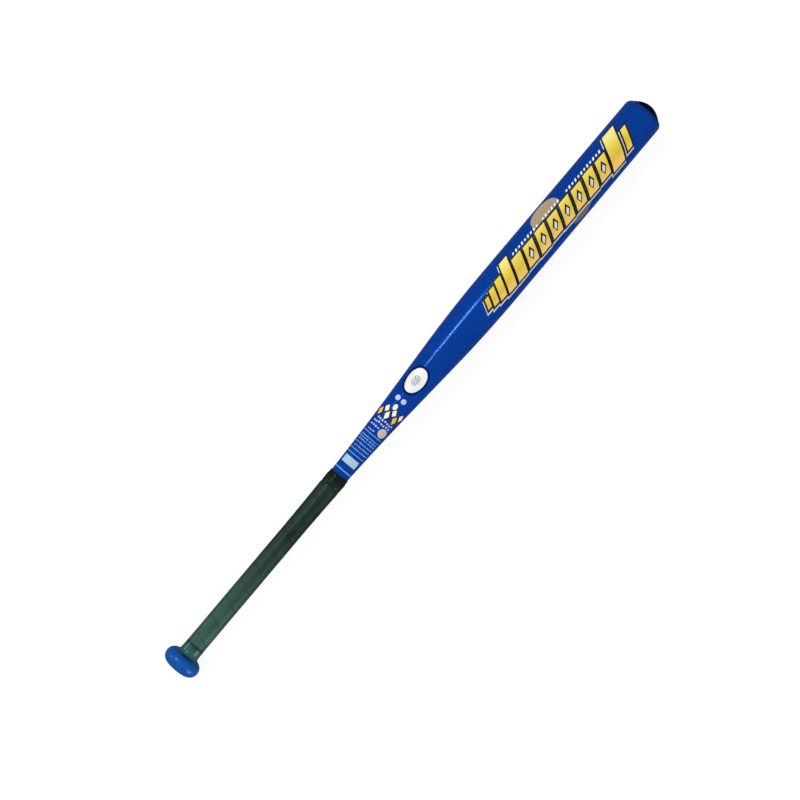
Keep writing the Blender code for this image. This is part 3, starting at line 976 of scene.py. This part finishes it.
# Bands round the tube above the grip: place and width of each, between two edges
RINGS = ((295.6, 1.5), (318.0, 1.0), (343.2, 1.0), (348.2, 1.1))
RING_EDGES = (-13.0, 15.0)
PANEL_PLACES = (304.8, 314)
PANEL_EDGES = (-9.7, 11.3)

# Columns of short dashes next to them, of random lengths and gaps
DASH_COLUMNS = (323.0, 327.5, 332.0, 336.5, 339.8)
DASH_COLUMN_WIDTH = 1.7
DASH_COLUMN_EDGE = 12.0
DASH_COLUMN_LENGTHS = (1.2, 3.6)
DASH_COLUMN_GAPS = (0.7, 1.6)

# Columns of small diamonds: place, low and high edge, and reach along the bat
SPECK_COLUMNS = (
    (353.0, 3, 12, 0.9),
    (359.5, 1, 13, 1.3),
    (364.5, -10, 13, 1.5),
    (369.0, -11, 13, 1.5),
)
SPECK_SHIFTS = (-0.6, 0.6)
SPECK_SPACINGS = (3.0, 3.9)
SPECK_REACH = 1.5
DISC = (356.7, -7.5, 5.8, 5.8)

# Two staggered columns of larger diamonds: place and reach along the bat
TAPER_COLUMNS = ((376.4, 5.6), (383.2, 4.6))
TAPER_DIAMONDS = 6
TAPER_DIAMONDS_TOP = 13.5
TAPER_DIAMONDS_SPACING = 5.4
TAPER_DIAMONDS_REACH = 3.1
TAPER_DIAMONDS_SLANT = 0.3
AMBER_DIAMONDS = (0, 4)
TAPER_SHADOW_MARGIN = 0.9
TAPER_SHADOW_SHIFT = (-0.6, -0.5)
CREAM_OVAL = (389.6, 1.2, 3.8, 2.5)
TAPER_DISCS = ((400, 6.3, 3.2, 3.2), (400, -2.3, 3.2, 3.2))

# Rings of spots on the sticker: how many, and how far from its middle
MARK_RINGS = ((5, 1.7), (9, 3.4), (13, 5.1))
MARK_STRETCH = (1.15, 0.8)
MARK_REACH = (0.85, 0.6)
MARK_STEPS = 10


def rectangle(places, edges):
    """A plain shape between two places along the bat and two edges across it."""
    (start, end), (low, high) = places, edges
    return [(start, low), (end, low), (end, high), (start, high)]


def make_barrel_print(inks):
    """Slanted gold bars with dark windows, a row of dashes over them, and two bronze patches."""
    bars = [bar(*size) for size in GOLD_BARS]
    shadows = [grown(shape, OUTLINE_MARGIN, SHADOW_SHIFT) for shape in bars]
    add_print("print_silver", shadows, SILVER_LIFT, inks["silver"])
    outlines = [grown(shape, OUTLINE_MARGIN) for shape in bars]
    add_print("print_black", outlines, BLACK_LIFT, inks["black"])
    add_print("print_gold", bars, GOLD_LIFT, inks["gold"])
    windows = []
    for x, width, *_ in GOLD_BARS:
        if width == WINDOWED_WIDTH:
            windows.append(diamond(x + WINDOW_SHIFT[0], WINDOW_SHIFT[1], *WINDOW_REACH, SLANT))
    add_print("print_windows", windows, WINDOW_LIFT, inks["black"])
    glints = [grown(shape, GLINT_MARGIN, GLINT_SHIFT) for shape in windows]
    add_print("print_window_glints", glints, GLINT_LIFT, inks["silver"])

    dashes = []
    for i in range(DASH_COUNT):
        if i not in DASH_GAPS:
            stagger = i % 2 * DASH_STAGGER
            low, high = DASH_EDGES
            place = DASH_ROW_START + DASH_SPACING * i
            dashes.append(bar(place, DASH_WIDTH, low - stagger, high + stagger))
    add_print("print_white_row", dashes, WINDOW_LIFT, inks["white"])

    patches = [cap_of_oval(*size) for size in PATCHES]
    add_print("print_bronze", patches, BRONZE_LIFT, inks["bronze"])


def make_handle_print(inks, draw):
    """Light bands, a pale panel, short dashes, small diamonds and a disc next to the grip."""
    rings = [rectangle((x, x + width), RING_EDGES) for x, width in RINGS]
    add_print("print_rings", rings, BLACK_LIFT, inks["pale_blue"])
    add_print("print_panel", [rectangle(PANEL_PLACES, PANEL_EDGES)], BLACK_LIFT, inks["panel"])

    rows = []
    for x in DASH_COLUMNS:
        across = -DASH_COLUMN_EDGE
        while across < DASH_COLUMN_EDGE:
            length = draw.uniform(*DASH_COLUMN_LENGTHS)
            rows.append(rectangle((x, x + DASH_COLUMN_WIDTH), (across, across + length)))
            across += length + draw.uniform(*DASH_COLUMN_GAPS)
    add_print("print_dashes", rows, BLACK_LIFT, inks["pale_blue"])

    specks = []
    for x, low, high, reach in SPECK_COLUMNS:
        across = low
        while across < high:
            specks.append(diamond(x + draw.uniform(*SPECK_SHIFTS), across, reach, SPECK_REACH))
            across += draw.uniform(*SPECK_SPACINGS)
    add_print("print_specks", specks, BLACK_LIFT, inks["lilac"])
    add_print("print_disc", [oval(*DISC)], BLACK_LIFT, inks["beige"])


def make_taper_print(inks):
    """Cream and amber diamonds, a cream oval and two discs between the handle and the sticker."""
    creams = []
    ambers = []
    for index in range(TAPER_DIAMONDS):
        x, reach = TAPER_COLUMNS[index % 2]
        across = TAPER_DIAMONDS_TOP - TAPER_DIAMONDS_SPACING * index
        shape = diamond(x, across, reach, TAPER_DIAMONDS_REACH, TAPER_DIAMONDS_SLANT)
        chosen = ambers if index in AMBER_DIAMONDS else creams
        chosen.append(shape)
    shadows = [grown(shape, TAPER_SHADOW_MARGIN, TAPER_SHADOW_SHIFT) for shape in creams + ambers]
    add_print("print_taper_shadows", shadows, SILVER_LIFT, inks["black"])
    add_print("print_cream", creams + [oval(*CREAM_OVAL)], BLACK_LIFT, inks["cream"])
    add_print("print_amber", ambers, BLACK_LIFT, inks["amber"])
    discs = [oval(*size) for size in TAPER_DISCS]
    add_print("print_discs", discs, BLACK_LIFT, inks["lilac"])


def make_sticker_print(inks, paper):
    """A dark ring round the sticker, a painted shadow of its edge, and its white face with rings of
    small spots.
    """
    # Painted shadow: a dark navy ring round the sticker's edge
    painted_shadow_ring = []
    for index in range(STICKER_BORDER_STEPS):
        near = [sticker_face_point(-STICKER_SHADOW_RING / 2, i) for i in (index, index + 1)]
        far = [sticker_face_point(STICKER_SHADOW_RING, i) for i in (index + 1, index)]
        painted_shadow_ring.append(near + far)
    add_print("print_sticker_shadow", painted_shadow_ring, BRONZE_LIFT, inks["navy"])

    def sticker_place(x, turn, lift):
        """A point of the print on the sticker."""
        return at(x, enamel_radius(x) + STICKER_LIFT + STICKER_THICKNESS + lift, turn)

    face = [sticker_face_point(0.0, index) for index in range(STICKER_BORDER_STEPS)]
    add_print("sticker_face", [face], FILM, paper, sticker_place)
    middle_x = STICKER_FACE_CENTRE * 1000
    middle_across = STICKER_FACE_TURN * outer_radius(STICKER_FACE_CENTRE) * 1000
    dark_marks = []
    warm_marks = []
    for count, reach in MARK_RINGS:
        for index in range(count):
            angle = 2 * math.pi * (index + reach) / count
            x = middle_x + MARK_STRETCH[0] * reach * math.cos(angle)
            across = middle_across + MARK_STRETCH[1] * reach * math.sin(angle)
            chosen = warm_marks if index % 3 == 2 else dark_marks
            chosen.append(oval(x, across, *MARK_REACH, MARK_STEPS))
    add_print("sticker_dark_marks", dark_marks, 2 * FILM, inks["grey"], sticker_place)
    add_print("sticker_warm_marks", warm_marks, 2 * FILM, inks["bronze"], sticker_place)


def make_prints():
    """All the ink on the tube, a generic design of bars, stripes, dashes, diamonds and discs."""
    inks = {name: ink("ink_" + name, *settings) for name, *settings in INKS}
    paper = moulded(
        "sticker_paper",
        STICKER_WHITE,
        STICKER_OFF_WHITE,
        roughness=0.4,
        grain=0.0006,
        depth=0.00001,
    )
    make_barrel_print(inks)
    make_handle_print(inks, random.Random(7))
    make_taper_print(inks)
    make_sticker_print(inks, paper)


def make_floor():
    """A pale floor that the knob and the barrel both rest on. Seen directly it is white."""
    knob_x = KNOB_EDGE_RADIUS - LENGTH / 2
    barrel_x = TAPER_END - LENGTH / 2
    slope = (KNOB_RADIUS - AXIS_HEIGHT) / (barrel_x - knob_x)
    corners = []
    for i, j in ((-1, -1), (1, -1), (1, 1), (-1, 1)):
        x = i * FLOOR_REACH
        corners.append((x, j * FLOOR_REACH, slope * (x - barrel_x)))
    mesh = bpy.data.meshes.new("floor")
    mesh.from_pydata(corners, [], [(0, 1, 2, 3)])
    floor = bpy.data.objects.new("floor", mesh)
    bpy.context.scene.collection.objects.link(floor)
    material = bpy.data.materials.new("floor_paper")
    material.use_nodes = True
    tree = material.node_tree
    tree.nodes.clear()
    grey = (FLOOR_GREY, FLOOR_GREY, FLOOR_GREY, 1.0)
    matt = add_node(tree, "ShaderNodeBsdfDiffuse", {"Color": grey}).outputs[0]
    white = {"Color": WHITE, "Strength": FLOOR_GLOW}
    glow = add_node(tree, "ShaderNodeEmission", white).outputs[0]
    both = add_node(tree, "ShaderNodeAddShader", {0: matt, 1: glow}).outputs[0]
    choice = {0: seen_directly(tree), 1: matt, 2: both}
    surface = add_node(tree, "ShaderNodeMixShader", choice).outputs[0]
    add_node(tree, "ShaderNodeOutputMaterial", {"Surface": surface})
    mesh.materials.append(material)


def seen_directly(tree):
    """1 for a ray from the camera, or one that metal or glass sends on, and 0 for soft light."""
    path = add_node(tree, "ShaderNodeLightPath")
    seen = path.outputs["Is Camera Ray"]
    for ray in ("Is Glossy Ray", "Is Transmission Ray"):
        either = {0: seen, 1: path.outputs[ray]}
        seen = add_node(tree, "ShaderNodeMath", either, operation="MAXIMUM").outputs[0]
    return seen


def make_world():
    """White where it is seen, and a modest soft light on the bat, mostly from overhead."""
    world = bpy.data.worlds.new("studio")
    bpy.context.scene.world = world
    world.use_nodes = True
    tree = world.node_tree
    background = tree.nodes["Background"]
    direction = add_node(tree, "ShaderNodeTexCoord").outputs["Generated"]
    height = add_node(tree, "ShaderNodeSeparateXYZ", {"Vector": direction}).outputs["Z"]
    sky = {"Value": height, "To Min": SKY_AT_HORIZON, "To Max": SKY_OVERHEAD}
    soft = add_node(tree, "ShaderNodeMapRange", sky).outputs["Result"]
    choice = {"Value": seen_directly(tree), "To Min": soft, "To Max": 1.0}
    strength = add_node(tree, "ShaderNodeMapRange", choice).outputs["Result"]
    feed(tree, background.inputs["Strength"], strength)
    feed(tree, background.inputs["Color"], WHITE)


def make_light(name, place, width, length, watts):
    """A rectangular soft light aimed near the bat's middle."""
    light = bpy.data.lights.new(name, "AREA")
    light.shape = "RECTANGLE"
    light.size = width
    light.size_y = length
    light.energy = watts
    lamp = bpy.data.objects.new(name, light)
    bpy.context.scene.collection.objects.link(lamp)
    lamp.location = place
    direction = Vector(LIGHTS_AIM) - Vector(place)
    lamp.rotation_euler = direction.to_track_quat("-Z", "Y").to_euler()


def make_camera():
    """Looks straight down on the bat's middle from above two metres."""
    data = bpy.data.cameras.new("camera")
    data.lens = CAMERA_LENS
    data.sensor_width = 36.0
    data.clip_start = 0.05
    data.clip_end = 50.0
    camera = bpy.data.objects.new("camera", data)
    bpy.context.scene.collection.objects.link(camera)
    camera.location = CAMERA_PLACE
    camera.rotation_euler = (0.0, 0.0, CAMERA_TURN)
    bpy.context.scene.camera = camera


def make_bat():
    """Every piece of the bat with its material, and the print on it."""
    shell = enamel(
        "blue_enamel",
        SHELL_BLUE,
        deep_colour=SHELL_DEEP_BLUE,
        flake_colour=SHELL_FLAKES,
        seam_shade_colour=SHELL_SEAM_SHADE,
        seam_shade_places=(TUBE_END - SHELL_SEAM_SHADE_LENGTH, TUBE_END),
        coat=0.014,
        coat_roughness=0.11,
    )
    make_shell(shell)
    knob = enamel(
        "knob_blue_enamel",
        KNOB_BLUE,
        deep_colour=KNOB_DEEP_BLUE,
        flake_colour=KNOB_FLAKES,
        seam_shade_colour=KNOB_SEAM_SHADE,
        seam_shade_places=(KNOB_LENGTH - KNOB_SEAM_SHADE_LENGTH, KNOB_LENGTH),
        coat=0.052,
        coat_roughness=0.26,
    )
    make_knob(knob)
    plug = moulded(
        "plug_rubber",
        PLUG_BLACK,
        PLUG_GREY,
        roughness=0.6,
        grain=0.0004,
        depth=0.00004,
        Specular_IOR_Level=0.15,
    )
    make_plug(plug)
    cap = moulded(
        "cap_plastic",
        CAP_BLUE_BLACK,
        CAP_DEEP_BLACK,
        roughness=0.45,
        grain=0.0005,
        depth=0.00003,
        Metallic=1.0,
        Specular_Tint=linear(CAP_SHEEN),
        Coat_Weight=0.015,
        Coat_Roughness=0.3,
    )
    make_cap(cap)
    # The band fades to dark towards the grip: painted shade at that step
    band = moulded(
        "band_rubber",
        BAND_GREEN,
        BAND_DARK_GREEN_AND_SHADE,
        roughness=0.3,
        grain=0.0040,
        depth=0.000008,
        fade_and_shade=BAND_SHADE_FADE,
        Specular_IOR_Level=0.0,
        Coat_Weight=0.11,
        Coat_Roughness=0.27,
        Coat_IOR=COAT_IOR,
    )
    make_start_band(band)
    make_grip(leather())
    tape = moulded(
        "tape_vinyl",
        TAPE_GREEN,
        TAPE_DARK_GREEN,
        roughness=0.2,
        grain=0.0008,
        depth=0.00001,
        fade_and_shade=TAPE_FADE,
        Specular_IOR_Level=0.0,
        Coat_Weight=0.035,
        Coat_Roughness=0.25,
        Coat_IOR=COAT_IOR,
    )
    make_finish_tape(tape)
    sticker = moulded(
        "sticker_vinyl",
        STICKER_NAVY,
        STICKER_DEEP_NAVY,
        roughness=0.4,
        grain=0.0006,
        depth=0.00001,
        Specular_IOR_Level=0.1,
    )
    make_sticker(sticker)
    foam = moulded("foam_cells", FOAM_YELLOW, FOAM_BROWN, roughness=0.9, grain=0.0012, depth=0.0004)
    foam_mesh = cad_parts["damping_foam"].data
    foam_mesh.materials.clear()
    foam_mesh.materials.append(foam)
    make_prints()


def main():
    """Builds the bat and the studio round it."""
    make_bat()
    make_floor()
    make_world()
    for light in LIGHTS:
        make_light(*light)
    make_camera()
    bpy.context.scene.view_settings.view_transform = "Standard"


main()
